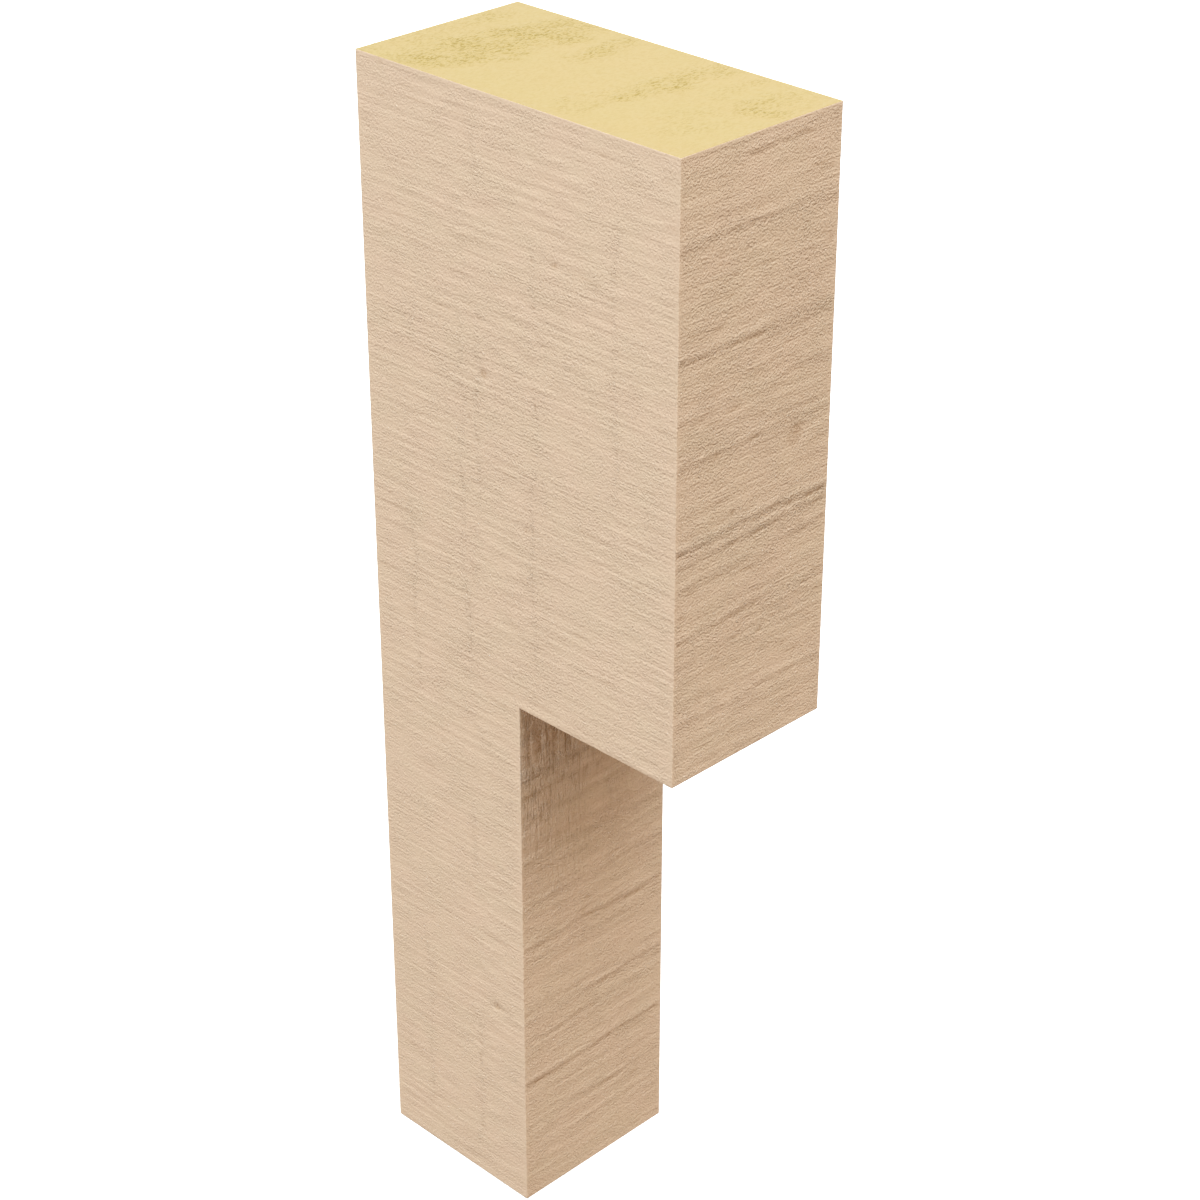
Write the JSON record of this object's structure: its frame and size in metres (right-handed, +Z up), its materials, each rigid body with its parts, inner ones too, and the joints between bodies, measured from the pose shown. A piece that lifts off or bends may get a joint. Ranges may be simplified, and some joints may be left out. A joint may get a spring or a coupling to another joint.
{
  "type": "corbel",
  "caption": "Plain timber-look corbel: a square leg against the wall below a deeper projecting block, with rough saw-cut faces and a flat top and back.",
  "frame": {"origin": "middle of the flat back, where the corbel is fixed to the wall", "axes": "+Z up along the corbel's height, +Y from the back into the wall, so the front faces -Y, and +X across the width"},
  "size_m": [0.1016, 0.2032, 0.6096],
  "materials": {
    "primed_foam": "matte"
  },
  "bodies": {
    "root": {"corbel": "primed_foam"}
  },
  "joints": []
}
